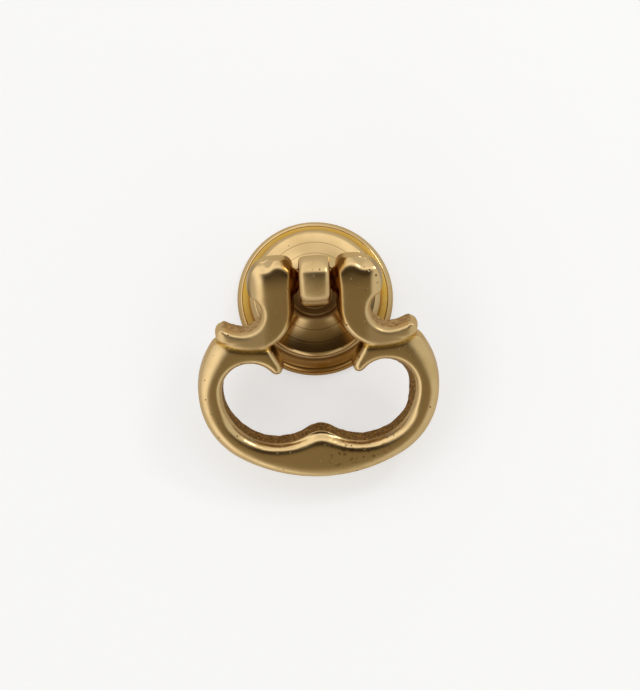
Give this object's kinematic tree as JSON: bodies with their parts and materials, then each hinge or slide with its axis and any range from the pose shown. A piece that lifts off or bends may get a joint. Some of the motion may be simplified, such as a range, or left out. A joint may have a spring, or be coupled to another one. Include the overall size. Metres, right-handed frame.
{
  "type": "drop pull",
  "caption": "Brass drop pull for a drawer: a turned round rosette, a post tapped for a screw from behind, and a cast scrolled bail that swings on the post.",
  "frame": {"origin": "middle of the rosette's back, at the mouth of the post's tapped hole", "axes": "+Z out of the drawer front towards the hand, -Y downwards on the drawer, where the bail hangs, +X to the right"},
  "size_m": [0.0486, 0.0534, 0.0243],
  "materials": {
    "turned_brass": "polished and slightly aged, with fine turning lines",
    "cast_brass": "polished face and edges, rough as-cast inner walls, small pits"
  },
  "bodies": {
    "base": {"rosette": "turned_brass", "post": "turned_brass"},
    "drop": {"bail": "cast_brass"}
  },
  "joints": [
    {"name": "bail_swing", "type": "hinge", "parent": "base", "child": "drop", "pos_m": [0, 0, 0.0193], "axis": [-1, 0, 0], "range_deg": [0, 228]}
  ]
}
